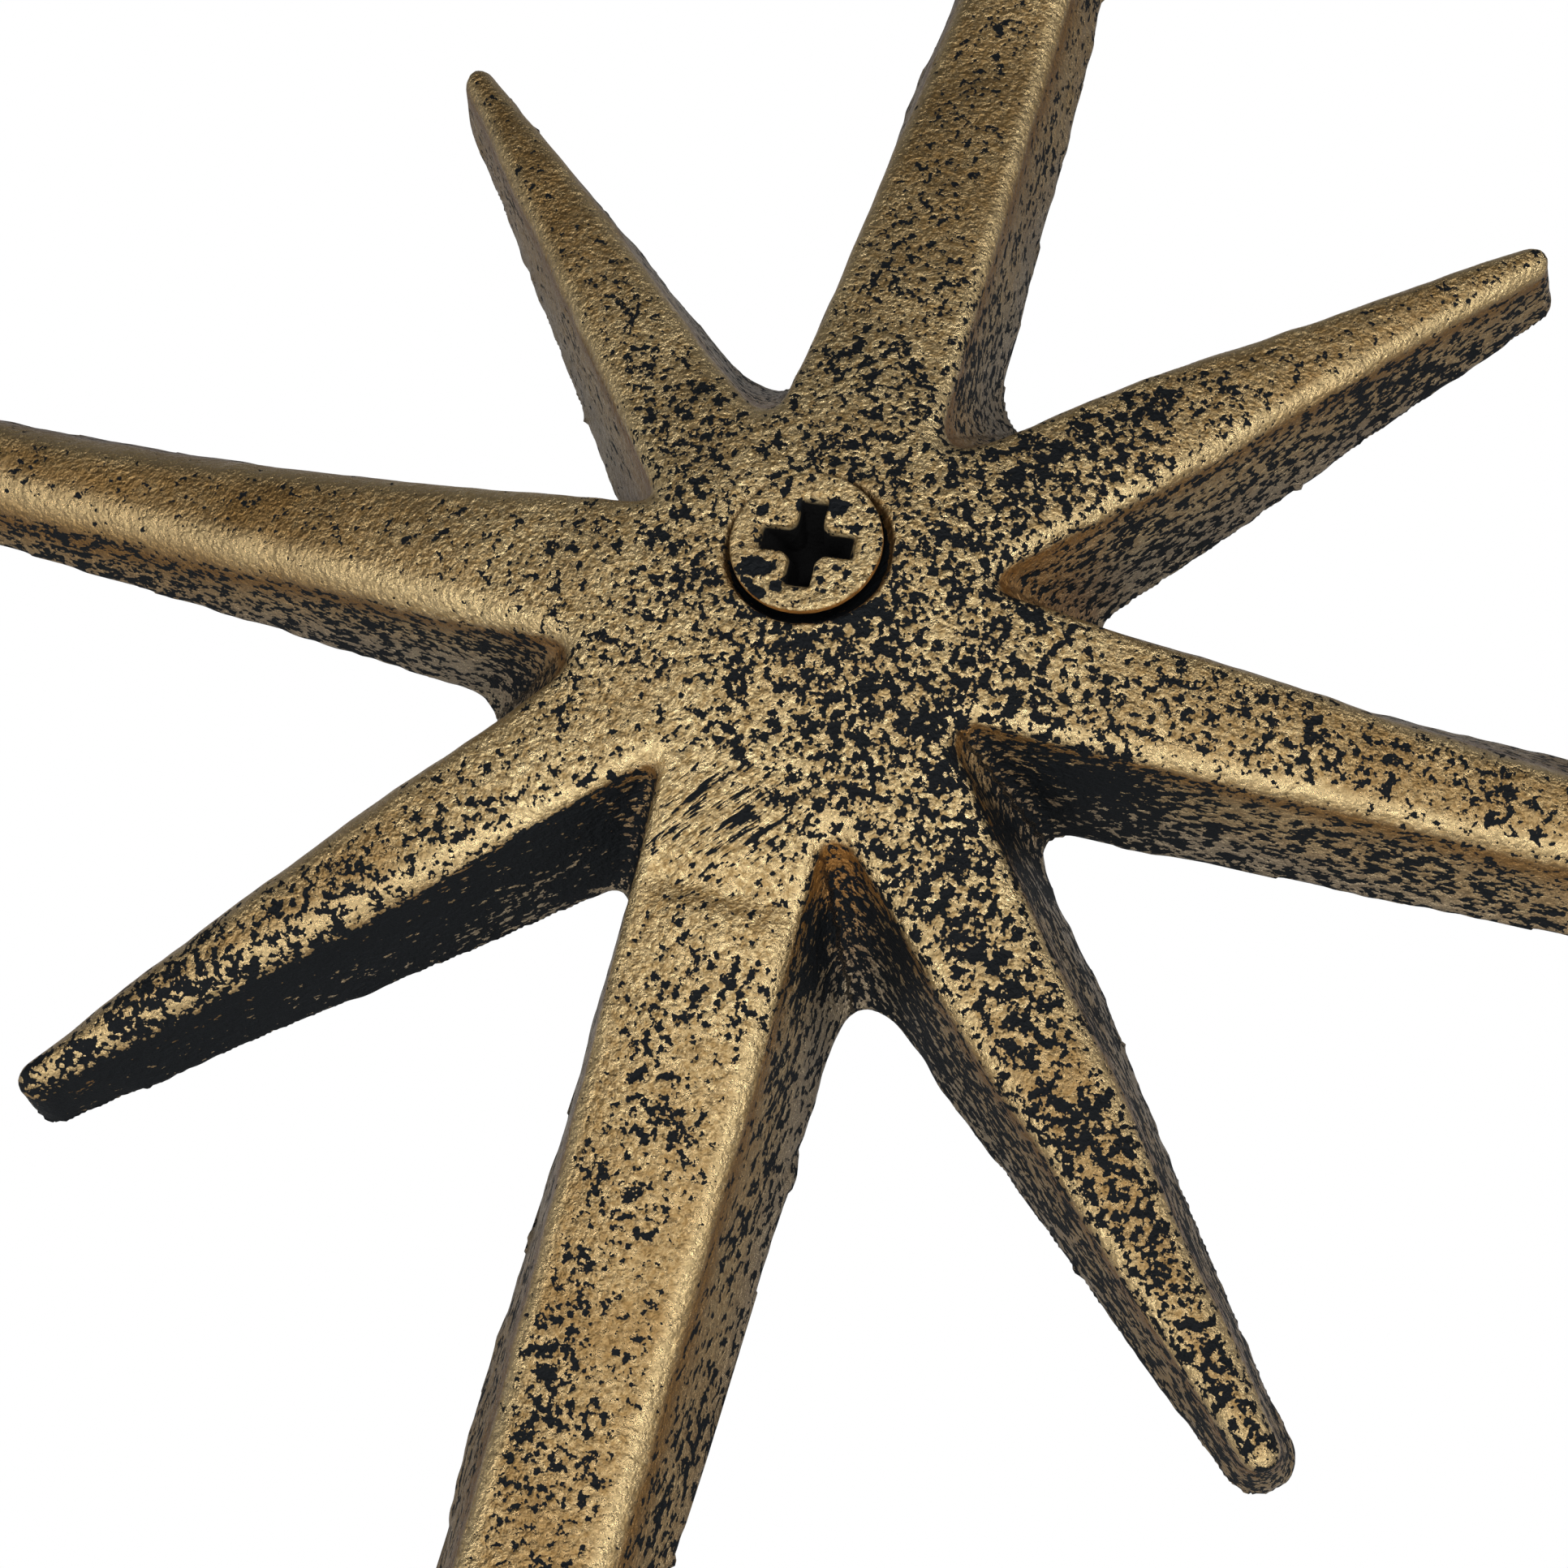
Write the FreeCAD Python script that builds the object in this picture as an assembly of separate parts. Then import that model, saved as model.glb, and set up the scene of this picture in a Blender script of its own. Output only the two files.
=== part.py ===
import FreeCAD, Part
import os
import math

V = FreeCAD.Vector
os.makedirs("parts", exist_ok=True)

# Eight-rayed cast-iron sunburst for a wall, with its one screw and wall plug.
# Millimetres. Origin: the screw's axis where it meets the wall.
# +Y goes into the wall, the show face looks along -Y, +Z is up, +X is the viewer's right.

# ---- casting -------------------------------------------------------------
HUB_DROP = 3.6            # the screw hole sits this far above the star's centre, so it hangs upright
HUB_SIDE = 0.4            # and this far to its left, as the drilling wandered
HUB_T = 10.15             # thickness at the centre of the hub
HUB_RIM_T = 8.7           # thickness where the crown of the hub ends
HUB_FRONT_R = 12.6        # web that fills the notches, at the show face
HUB_BACK_R = 17.0         # and at the wall
CENTRE_T = 10.0           # the rays' thickness carried in to the star's centre
MID_R = 42.0              # station half way along a long ray
LONG_R = 98.0             # long ray, centre of the star to the tip
TIP_ROUND = 1.6           # length of the rounded-off end of every ray

# name, bearing in degrees (0 = +X, 90 = +Z), tip radius, radius of the middle station,
# half-widths on the wall side at centre / middle / tip,
# half-widths of the show face at centre / middle / tip, thickness at middle / tip
RAYS = [
    ("right",        0.3, LONG_R, MID_R, (6.3, 4.9, 1.6), (4.1, 2.0, 0.8), (4.5, 3.6)),
    ("upper_right", 44.9, 47.6, 24.0, (7.1, 4.9, 1.7), (4.1, 2.9, 0.8), (7.2, 4.3)),
    ("top",         91.0, LONG_R, MID_R, (6.1, 5.1, 2.3), (4.9, 3.2, 1.1), (4.5, 3.6)),
    ("upper_left", 134.4, 47.4, 24.0, (7.1, 4.4, 1.6), (4.1, 2.5, 0.8), (7.2, 4.3)),
    ("left",       179.4, LONG_R, MID_R, (6.5, 4.8, 2.1), (5.0, 2.5, 1.1), (4.5, 3.6)),
    ("lower_left", 225.2, 49.4, 24.0, (7.1, 5.0, 1.7), (4.1, 2.7, 0.8), (7.2, 4.3)),
    ("bottom",     271.4, LONG_R, MID_R, (6.7, 6.3, 2.8), (4.9, 3.7, 1.4), (4.5, 3.6)),
    ("lower_right", 313.9, 49.0, 24.0, (7.1, 4.9, 1.7), (4.1, 2.7, 0.8), (7.2, 4.3)),
]

HOLE_R = 2.45             # clearance hole for the screw's shank
SINK_R = 4.40             # mouth of the countersink
SINK_HALF_ANGLE = 41.0    # 82 degree countersink
SEAT_Y = -9.45            # level of the mouth's edge where the cone starts
BACK_RELIEF_R = 4.7       # relief round the hole at the back, for the plug's rim
BACK_RELIEF_T = 1.3

# ---- screw (No. 8 flat head, 38 mm) ---------------------------------------
HEAD_R = 4.10
HEAD_TOP_Y = -10.15
HEAD_LAND = 0.45          # straight edge of the head
SHANK_R = 2.10
CORE_R = 1.45             # root of the thread
PITCH = 1.7
SCREW_TIP_Y = 27.6
THREAD_START_Y = 2.6
RECESS_SPAN = 5.40        # cross recess, tip to tip
RECESS_W = 1.45
RECESS_DEPTH = 2.6
RECESS_TURN = 5.0         # the cross stands this much off the star's axes

# ---- wall plug (nylon, 30 mm) ----------------------------------------------
PLUG_R = 3.2
PLUG_BORE_R = 2.18        # clears the thread's crest
PLUG_RIM_R = 4.0
PLUG_RIM_T = 0.8
PLUG_L = 30.0
PLUG_PLAIN_L = 8.0        # smooth collar that seals the wall's hole
RIB_STEP = 2.75
RIB_DEPTH = 0.35
SLIT_W = 0.9
SLIT_FROM = 10.0


def ray_section(r, hb, ht, t, edge, crown):
    """Closed section of a ray at distance r along +X from the star's centre."""
    dx = (hb - ht) / t                       # draft of the side wall
    drop = edge
    in_ = min(edge, ht * 0.6)
    wall_s = ht + dx * drop
    y_shoulder = -(t - drop)
    y_edge = -(t - 0.06)
    a0 = V(r, 0, -hb)
    a1 = V(r, 0, hb)
    b1 = V(r, y_shoulder, wall_s)
    c1 = V(r, y_edge, ht - in_)
    m1 = V(r, -(t - drop * 0.33), ht - in_ * 0.22)
    top = V(r, -(t + crown), 0)
    b0 = V(r, y_shoulder, -wall_s)
    c0 = V(r, y_edge, -(ht - in_))
    m0 = V(r, -(t - drop * 0.33), -(ht - in_ * 0.22))
    edges = [
        Part.makeLine(a0, a1),
        Part.makeLine(a1, b1),
        Part.Arc(b1, m1, c1).toShape(),
        Part.Arc(c1, top, c0).toShape(),
        Part.Arc(c0, m0, b0).toShape(),
        Part.makeLine(b0, a0),
    ]
    return Part.Wire(edges)


def lerp(a, b, k):
    return a + (b - a) * k


def make_ray(name, bearing, tip_r, mid_r, hb, ht, t):
    """One drafted, tapering ray, lofted section by section."""
    k = (tip_r - TIP_ROUND - mid_r) / (tip_r - mid_r)
    stations = [
        (0.0, hb[0], ht[0], CENTRE_T, 0.9),
        (mid_r, hb[1], ht[1], t[0], 0.8),
        (tip_r - TIP_ROUND, lerp(hb[1], hb[2], k), lerp(ht[1], ht[2], k), lerp(t[0], t[1], k), 0.5),
        (tip_r, hb[2] * 0.55, ht[2] * 0.5, t[1] * 0.82, 0.3),
    ]
    pieces = []
    for s0, s1 in zip(stations[:-1], stations[1:]):
        w0 = ray_section(*s0, 0.12)
        w1 = ray_section(*s1, 0.12)
        pieces.append(Part.makeLoft([w0, w1], True, True))
    ray = pieces[0].fuse(pieces[1:])
    ray.rotate(V(0, 0, 0), V(0, 1, 0), -bearing)
    return ray


def revolve_y(points, centre):
    """Solid of revolution about the Y axis through centre, from (radius, y) points."""
    pts = [V(p[0], p[1], 0) for p in points]
    face = Part.Face(Part.makePolygon(pts + [pts[0]]))
    solid = face.revolve(V(0, 0, 0), V(0, 1, 0), 360)
    solid.translate(centre)
    return solid


def cylinder_y(r, y0, y1):
    return Part.makeCylinder(r, y1 - y0, V(0, y0, 0), V(0, 1, 0))


def build_casting():
    centre = V(HUB_SIDE, 0, -HUB_DROP)
    # Hub: crowned front, drafted side.
    p_axis_back = V(0, 0, 0)
    p_back = V(HUB_BACK_R, 0, 0)
    p_front = V(HUB_FRONT_R, -HUB_RIM_T, 0)
    p_axis_front = V(0, -HUB_T, 0)
    sag = V(HUB_FRONT_R * 0.52, -(HUB_T - (HUB_T - HUB_RIM_T) * 0.27), 0)
    side_mid = V((HUB_BACK_R + HUB_FRONT_R) / 2.0 - 0.7, -HUB_RIM_T * 0.5, 0)
    wire = Part.Wire([
        Part.makeLine(p_axis_back, p_back),
        Part.Arc(p_back, side_mid, p_front).toShape(),
        Part.Arc(p_front, sag, p_axis_front).toShape(),
        Part.makeLine(p_axis_front, p_axis_back),
    ])
    hub = Part.Face(wire).revolve(V(0, 0, 0), V(0, 1, 0), 360)
    star = hub
    for row in RAYS:
        star = star.fuse(make_ray(*row))
    star.translate(centre)
    # Screw hole: countersink, clearance hole, relief for the plug's rim.
    star = star.cut(cylinder_y(HOLE_R, -20, 20))
    star = star.cut(cylinder_y(SINK_R, -20, SEAT_Y))
    depth = (SINK_R - HOLE_R) / math.tan(math.radians(SINK_HALF_ANGLE))
    cone = Part.makeCone(SINK_R, HOLE_R, depth, V(0, SEAT_Y, 0), V(0, 1, 0))
    star = star.cut(cone)
    star = star.cut(cylinder_y(BACK_RELIEF_R, -BACK_RELIEF_T, 5))
    return star.removeSplitter()


def build_screw():
    land_y = HEAD_TOP_Y + HEAD_LAND
    cone_y = land_y + (HEAD_R - SHANK_R) / math.tan(math.radians(SINK_HALF_ANGLE))
    profile = [
        (0, HEAD_TOP_Y),
        (HEAD_R - 0.12, HEAD_TOP_Y),
        (HEAD_R, HEAD_TOP_Y + 0.12),
        (HEAD_R, land_y),
        (SHANK_R, cone_y),
        (SHANK_R, THREAD_START_Y),
        (CORE_R, THREAD_START_Y + 0.9),
        (CORE_R, SCREW_TIP_Y - 4.6),
        (0, SCREW_TIP_Y),
    ]
    body = revolve_y(profile, V(0, 0, 0))
    # Thread: one V-shaped ridge wound on the core, run out inside a pointed envelope.
    z0 = THREAD_START_Y - 0.4
    length = SCREW_TIP_Y - 1.2 - z0
    helix = Part.makeHelix(PITCH, length, CORE_R - 0.05)
    crest = SHANK_R + 0.0
    tooth = Part.makePolygon([
        V(CORE_R - 0.12, 0, -0.52),
        V(crest, 0, -0.06),
        V(crest, 0, 0.06),
        V(CORE_R - 0.12, 0, 0.52),
        V(CORE_R - 0.12, 0, -0.52),
    ])
    ridge = Part.Wire(helix.Edges).makePipeShell([tooth], True, True)
    ridge.rotate(V(0, 0, 0), V(1, 0, 0), -90)
    ridge.translate(V(0, z0, 0))
    envelope = revolve_y([
        (0, THREAD_START_Y - 0.2),
        (SHANK_R - 0.3, THREAD_START_Y - 0.2),
        (SHANK_R, THREAD_START_Y + 0.6),
        (SHANK_R, SCREW_TIP_Y - 5.0),
        (0.25, SCREW_TIP_Y),
        (0, SCREW_TIP_Y),
    ], V(0, 0, 0))
    ridge = ridge.common(envelope)
    body = body.fuse(ridge)
    # Cross recess, tapering to its floor.
    y0 = HEAD_TOP_Y - 0.5
    y1 = HEAD_TOP_Y + RECESS_DEPTH
    for turn in (0, 90):
        arm = tapered_slot(RECESS_SPAN, RECESS_W, y0, y1)
        arm.rotate(V(0, 0, 0), V(0, 1, 0), -(RECESS_TURN + turn))
        body = body.cut(arm)
    core = Part.makeCone(RECESS_W * 0.98, 0.25, RECESS_DEPTH + 0.5, V(0, y0, 0), V(0, 1, 0))
    body = body.cut(core)
    return body


def tapered_slot(span, width, y0, y1):
    """Slot along X that narrows towards its floor."""
    def rect(hx, hz, y):
        return Part.makePolygon([
            V(-hx, y, -hz), V(hx, y, -hz), V(hx, y, hz), V(-hx, y, hz), V(-hx, y, -hz),
        ])
    top = rect(span / 2.0 + 0.25, width / 2.0 + 0.03, y0)
    floor = rect(span / 2.0 - 1.35, width / 2.0 - 0.2, y1)
    return Part.makeLoft([top, floor], True, True)


def build_plug():
    plug = cylinder_y(PLUG_R, 0, PLUG_L)
    plug = plug.fuse(cylinder_y(PLUG_RIM_R, -PLUG_RIM_T, 0))
    # Saw-tooth gripping rings.
    y = PLUG_PLAIN_L
    while y + RIB_STEP <= PLUG_L - 2.0:
        ring = revolve_y([
            (PLUG_R + 1.0, y),
            (PLUG_R - RIB_DEPTH, y),
            (PLUG_R, y + RIB_STEP - 0.35),
            (PLUG_R + 1.0, y + RIB_STEP - 0.35),
        ], V(0, 0, 0))
        plug = plug.cut(ring)
        y += RIB_STEP
    # Rounded-down nose.
    nose = revolve_y([
        (PLUG_R - 0.9, PLUG_L + 1.0),
        (PLUG_R - 0.9, PLUG_L),
        (PLUG_R, PLUG_L - 1.8),
        (PLUG_R + 1.0, PLUG_L - 1.8),
        (PLUG_R + 1.0, PLUG_L + 1.0),
    ], V(0, 0, 0))
    plug = plug.cut(nose)
    plug = plug.cut(cylinder_y(PLUG_BORE_R, -5, PLUG_L + 5))
    slit = Part.makeBox(SLIT_W, PLUG_L, 20, V(-SLIT_W / 2.0, SLIT_FROM, -10))
    plug = plug.cut(slit.common(cylinder_y(PLUG_R + 2, SLIT_FROM, PLUG_L - 2.6)))
    return plug


def check_and_save(name, shape):
    solids = shape.Solids
    print(name, "solids", len(solids), "valid", shape.isValid(), "volume", round(shape.Volume, 1),
          "box", shape.BoundBox)
    out = solids[0] if len(solids) == 1 else shape
    out.exportStep("parts/%s.step" % name)


check_and_save("starburst_casting", build_casting())
check_and_save("mounting_screw", build_screw())
check_and_save("wall_plug", build_plug())
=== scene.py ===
import math

import bpy
import numpy as np
from mathutils import Matrix, Vector


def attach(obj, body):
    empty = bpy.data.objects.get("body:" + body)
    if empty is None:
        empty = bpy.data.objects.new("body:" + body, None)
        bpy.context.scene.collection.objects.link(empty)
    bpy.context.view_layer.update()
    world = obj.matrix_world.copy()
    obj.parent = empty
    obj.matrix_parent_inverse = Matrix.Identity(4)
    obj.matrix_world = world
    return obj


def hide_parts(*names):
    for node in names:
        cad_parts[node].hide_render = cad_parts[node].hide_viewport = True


# Cast-iron sunburst for a wall, its screw and its wall plug.
# Shapes are worked out in millimetres in "plate" axes: x to the right, z up, both from the star's
# centre, and d = height above the wall. to_row() turns them into the frame's metres.

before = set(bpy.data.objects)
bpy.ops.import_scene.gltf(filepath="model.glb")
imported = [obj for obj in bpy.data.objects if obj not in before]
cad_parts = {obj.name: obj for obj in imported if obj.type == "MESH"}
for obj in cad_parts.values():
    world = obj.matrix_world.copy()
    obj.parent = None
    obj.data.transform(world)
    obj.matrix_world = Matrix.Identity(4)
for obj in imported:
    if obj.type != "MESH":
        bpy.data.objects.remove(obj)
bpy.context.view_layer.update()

MM = 0.001
HUB_DROP = 3.6              # the star's centre hangs this far under the screw
HUB_SIDE = 0.4              # and this far to its right
CENTRE_T = 10.1             # thickness at the star's centre

# ---- rays -----------------------------------------------------------------
# bearing (degrees, 0 = +x, 90 = +z), tip radius, radius of the middle station, sideways bow,
# half-width at the wall: centre / middle / tip, half-width of the face: the same,
# thickness at middle / tip,
# share of bare black paint: face near the hub / face near the tip / clockwise wall / other wall
RAYS = [
    (0.3, 97.6, 42.0, 0.0, (6.3, 4.9, 1.6), (4.1, 2.0, 0.8), (4.5, 3.6), (0.34, 0.32, 0.50, 0.42)),
    (44.9, 47.3, 24.0, 0.5, (7.1, 4.9, 1.7), (4.1, 2.9, 0.8), (7.2, 4.3), (0.57, 0.06, 0.48, 0.42)),
    (91.0, 97.6, 42.0, 0.0, (6.1, 5.1, 2.3), (4.9, 3.2, 1.1), (4.5, 3.6), (0.30, 0.12, 0.24, 0.24)),
    (134.4, 47.1, 24.0, -0.2, (7.1, 4.4, 1.6), (4.1, 2.5, 0.8), (7.2, 4.3), (0.20, 0.02, 0.30, 0.12)),
    (179.4, 97.6, 42.0, -0.2, (6.5, 4.8, 2.1), (5.0, 2.5, 1.1), (4.5, 3.6), (0.10, 0.06, 0.30, 0.62)),
    (225.2, 49.1, 24.0, -0.5, (7.1, 5.0, 1.7), (4.1, 2.7, 0.8), (7.2, 4.3), (0.16, 0.30, 0.30, 0.84)),
    (271.4, 97.6, 42.0, 0.0, (6.7, 6.3, 2.8), (4.9, 3.7, 1.4), (4.5, 3.6), (0.22, 0.20, 0.26, 0.38)),
    (313.9, 48.7, 24.0, 0.0, (7.1, 4.9, 1.7), (4.1, 2.7, 0.8), (7.2, 4.3), (0.52, 0.54, 0.68, 0.68)),
]
# blotches of bare black besides: ray, place along it and across it, half-length, half-width, share
BLOTCHES = [
    (0, 17.0, -4.6, 5.0, 2.0, 0.40),
    (1, 37.0, -2.4, 7.0, 1.0, 0.30),
    (2, 20.0, -4.2, 5.0, 1.2, 0.30),
    (2, 24.0, 1.4, 3.0, 1.1, 0.14),
    (2, 37.0, 0.4, 4.5, 1.2, 0.18),
    (3, 17.5, 0.4, 4.0, 1.7, 0.34),
    (3, 13.0, -0.8, 2.5, 1.4, 0.25),
    (3, 39.0, 1.3, 5.0, 0.7, 0.22),
    (4, 44.0, 2.6, 4.5, 1.2, 0.30),
    (5, 34.0, 3.0, 16.0, 1.7, 0.55),
    (5, 44.0, 1.4, 7.0, 2.1, 0.60),
    (5, 21.0, 1.0, 4.0, 1.6, 0.12),
    (6, 41.0, -2.0, 6.0, 1.7, 0.38),
    (6, 25.5, -0.8, 3.0, 1.6, 0.18),
    (6, 20.5, 2.6, 2.4, 1.4, 0.50),
    (6, 16.5, 5.4, 4.0, 1.0, 0.45),
    (7, 14.0, 4.2, 4.0, 1.6, 0.30),
    (7, 20.0, -4.2, 4.0, 1.3, 0.20),
]
HUB_R_FACE = 11.6           # web between the rays, at the face
HUB_R_WALL = 15.8           # and at the wall
# how far each notch is filled beyond that, anticlockwise from the notch between +x and the next ray
NOTCH_FILL = (-1.2, 0.6, 0.6, -1.2, 0.2, -1.4, 0.0, -1.0)
FILLET_FACE = 1.6           # blend between neighbouring walls, at the face
FILLET_WALL = 4.2           # and at the wall
EDGE_R = 0.60               # worn rounding between face and side wall
EDGE_R_LEFT = 1.25          # the same on the two rays to the left, which are worn rounder
FACE_CROWN = 0.30           # how much a ray's face falls from its middle to its edge
WALL_SLOPE = 0.965          # cosine of the side walls' draft, which turns a gap into a distance
FACE_SLOPE = 0.985          # the same for the faces, which fall towards the tips

# ---- screw hole ------------------------------------------------------------
HOLE_R = 2.45
SINK_R = 4.50
HOLE_SIDE = 0.15            # the hole's centre is a little off the screw's, down and to the right
SEAT_D = 9.45               # height above the wall where the countersink's cone begins
SINK_HALF_ANGLE = 41.0
RELIEF_R = 4.7
RELIEF_T = 1.3


def lerp(a, b, k):
    return a + (b - a) * k


def smooth_step(x, lo, hi):
    k = np.clip((x - lo) / (hi - lo), 0.0, 1.0)
    return k * k * (3.0 - 2.0 * k)


def soft_min(a, b, k):
    h = np.clip(0.5 + 0.5 * (b - a) / k, 0.0, 1.0)
    return lerp(b, a, h) - k * h * (1.0 - h)


def soft_max(a, b, k):
    return -soft_min(-a, -b, k)


def round_and(a, b, r):
    """Intersection of two distance fields with a rounded edge of radius r."""
    inner = np.minimum(np.maximum(a + r, b + r), 0.0)
    outer = np.hypot(np.maximum(a + r, 0.0), np.maximum(b + r, 0.0))
    return inner + outer - r


class Noise:
    """Smooth value noise on a seeded lattice, about -1 to 1."""

    def __init__(self, seed, cells=64):
        self.n = cells
        self.grid = np.random.default_rng(seed).uniform(-1.0, 1.0, (cells, cells, cells))

    def __call__(self, p, size):
        q = p / size + 1000.0
        i = np.floor(q).astype(int)
        f = q - i
        f = f * f * (3.0 - 2.0 * f)
        out = 0.0
        for dx in (0, 1):
            wx = f[:, 0] if dx else 1.0 - f[:, 0]
            for dy in (0, 1):
                wy = f[:, 1] if dy else 1.0 - f[:, 1]
                for dz in (0, 1):
                    wz = f[:, 2] if dz else 1.0 - f[:, 2]
                    v = self.grid[(i[:, 0] + dx) % self.n, (i[:, 1] + dy) % self.n,
                                  (i[:, 2] + dz) % self.n]
                    out = out + v * wx * wy * wz
        return out


def surface_net(field, lo, step):
    """Quad mesh of the zero level of a field sampled on a grid (negative inside)."""
    inside = field < 0.0
    nx, ny, nz = field.shape
    corner = [inside[i:nx - 1 + i, j:ny - 1 + j, k:nz - 1 + k]
              for i in (0, 1) for j in (0, 1) for k in (0, 1)]
    some = corner[0].copy()
    every = corner[0].copy()
    for c in corner[1:]:
        some |= c
        every &= c
    cells = np.argwhere(some & ~every)
    total = np.zeros((len(cells), 3))
    count = np.zeros(len(cells))
    for axis in range(3):
        others = [a for a in range(3) if a != axis]
        for u in (0, 1):
            for v in (0, 1):
                a = cells.copy()
                a[:, others[0]] += u
                a[:, others[1]] += v
                b = a.copy()
                b[:, axis] += 1
                fa = field[a[:, 0], a[:, 1], a[:, 2]]
                fb = field[b[:, 0], b[:, 1], b[:, 2]]
                cross = (fa < 0.0) != (fb < 0.0)
                t = np.where(cross, fa / np.where(cross, fa - fb, 1.0), 0.0)
                point = a.astype(float)
                point[:, axis] += t
                total[cross] += point[cross]
                count[cross] += 1
    verts = total / count[:, None] * step + np.asarray(lo)
    index = np.full((nx - 1, ny - 1, nz - 1), -1, np.int32)
    index[cells[:, 0], cells[:, 1], cells[:, 2]] = np.arange(len(cells))
    quads = []
    for axis in range(3):
        u, v = [(1, 2), (2, 0), (0, 1)][axis]
        a = [slice(1, -1)] * 3
        b = [slice(1, -1)] * 3
        a[axis] = slice(0, -1)
        b[axis] = slice(1, None)
        sa = inside[tuple(a)]
        sb = inside[tuple(b)]
        where = np.argwhere(sa != sb)
        flip = sa[where[:, 0], where[:, 1], where[:, 2]]
        base = where.copy()
        base[:, u] += 1
        base[:, v] += 1
        ring = []
        for du, dv in ((1, 1), (0, 1), (0, 0), (1, 0)):
            c = base.copy()
            c[:, u] -= du
            c[:, v] -= dv
            ring.append(index[c[:, 0], c[:, 1], c[:, 2]])
        q = np.stack(ring, 1)
        q[~flip] = q[~flip][:, ::-1]
        quads.append(q)
    return verts, np.concatenate(quads)


def add_object(name, data):
    obj = bpy.data.objects.new(name, data)
    bpy.context.scene.collection.objects.link(obj)
    return obj


def make_mesh(name, verts, faces):
    mesh = bpy.data.meshes.new(name)
    mesh.vertices.add(len(verts))
    mesh.vertices.foreach_set("co", np.asarray(verts, np.float32).ravel())
    mesh.loops.add(faces.size)
    mesh.loops.foreach_set("vertex_index", faces.astype(np.int32).ravel())
    mesh.polygons.add(len(faces))
    mesh.polygons.foreach_set("loop_start", np.arange(len(faces), dtype=np.int32) * faces.shape[1])
    mesh.update(calc_edges=True)
    mesh.validate()
    mesh.shade_smooth()
    return add_object(name, mesh)


def vertex_normals(verts, faces):
    a, b, c, d = (verts[faces[:, i]] for i in range(4))
    n = np.cross(c - a, d - b)
    out = np.zeros_like(verts)
    for i in range(4):
        np.add.at(out, faces[:, i], n)
    return out / np.maximum(np.linalg.norm(out, axis=1, keepdims=True), 1e-9)


def add_attribute(obj, name, values):
    a = obj.data.attributes.new(name, "FLOAT", "POINT")
    a.data.foreach_set("value", np.asarray(values, np.float32))


def add_vector_attribute(obj, name, values):
    a = obj.data.attributes.new(name, "FLOAT_VECTOR", "POINT")
    a.data.foreach_set("vector", np.asarray(values, np.float32).ravel())


# ---- casting ----------------------------------------------------------------


def ray_coords(x, z, bearing, tip=98.0, bow=0.0):
    """Distance along a ray and across it, anticlockwise positive."""
    a = math.radians(bearing)
    r = x * math.cos(a) + z * math.sin(a)
    share = np.clip(r / tip, 0.0, 1.0)
    return r, -x * math.sin(a) + z * math.cos(a) - bow * 4.0 * share * (1.0 - share)


def along(values, r, mid, tip):
    """Value at radius r of a measure given at the centre, the middle station and the tip."""
    inner = lerp(values[0], values[1], r / mid)
    outer = lerp(values[1], values[2], (r - mid) / (tip - mid))
    return np.where(r < mid, inner, outer)


def thickness(x, z):
    """Height of the show face above the wall."""
    total = np.zeros_like(x)
    weight = np.full_like(x, 1e-6)
    dist = np.hypot(x, z - 1.5 * np.exp(-(x * x + z * z) / 200.0))
    soft = np.sqrt(dist * dist + 25.0) - 5.0
    for bearing, tip, mid, bow, hb, ht, t, black in RAYS:
        r, s = ray_coords(x, z, bearing, tip, bow)
        soft_mid = math.sqrt(mid * mid + 25.0) - 5.0
        inner = CENTRE_T + (t[0] - CENTRE_T) * soft / soft_mid
        outer = t[0] + (t[1] - t[0]) * (soft - soft_mid) / (tip - mid)
        height = np.where(soft < soft_mid, inner, outer)
        if tip > 60.0:
            height = soft_max(inner, outer, 0.6)
        width = np.maximum(along(ht, np.clip(r, 0.0, tip), mid, tip), 0.6)
        crown = FACE_CROWN * np.clip(s / width, -1.5, 1.5) ** 2 * smooth_step(r, 9.0, 18.0)
        w = np.exp(-(s / 5.0) ** 2) * smooth_step(r, -4.0, 8.0) + 1e-6
        total += (height - crown) * w
        weight += w
    top = total / weight
    # shallow hollow across the root of the bottom ray
    r, s = ray_coords(x, z, RAYS[6][0])
    hollow = np.exp(-((r - 15.4) / 1.1) ** 2) * smooth_step(s, -4.8, -2.6)
    return top - 0.55 * hollow * (1.0 - smooth_step(np.abs(s), 3.0, 6.0))


def notch_fill(x, z):
    """How much further than usual the notch in this direction is filled."""
    turn = (np.degrees(np.arctan2(z, x)) - 22.5) / 45.0 % 8.0
    i = np.floor(turn).astype(int)
    fill = np.asarray(NOTCH_FILL)
    return lerp(fill[i % 8], fill[(i + 1) % 8], smooth_step(turn - i, 0.2, 0.8))


def side_field(x, z, d, t):
    """Distance outside the side walls: negative inside the star's outline at height d."""
    fill = notch_fill(x, z)
    web = lerp(HUB_R_WALL, HUB_R_FACE, np.clip(d / 8.5, 0.0, 1.1)) + fill
    fillet = lerp(FILLET_WALL + 1.7 * fill, FILLET_FACE + 0.4 * fill, np.clip(d / 8.0, 0.0, 1.0))
    side = np.hypot(x, z) - web
    for bearing, tip, mid, bow, hb, ht, tt, black in RAYS:
        r, s = ray_coords(x, z, bearing, tip, bow)
        end = tip - hb[2] * 0.85
        rc = np.clip(r, 0.0, end)
        reach = np.where(r > end, np.hypot(r - end, s), np.abs(s))
        wall = along(hb, rc, mid, tip)
        face = along(ht, rc, mid, tip)
        ray = (reach - wall - (face - wall) / t * d) * WALL_SLOPE
        ray = np.where(r < 0.0, np.maximum(ray, -r), ray)
        side = soft_min(side, ray, fillet)
    return side


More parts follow.
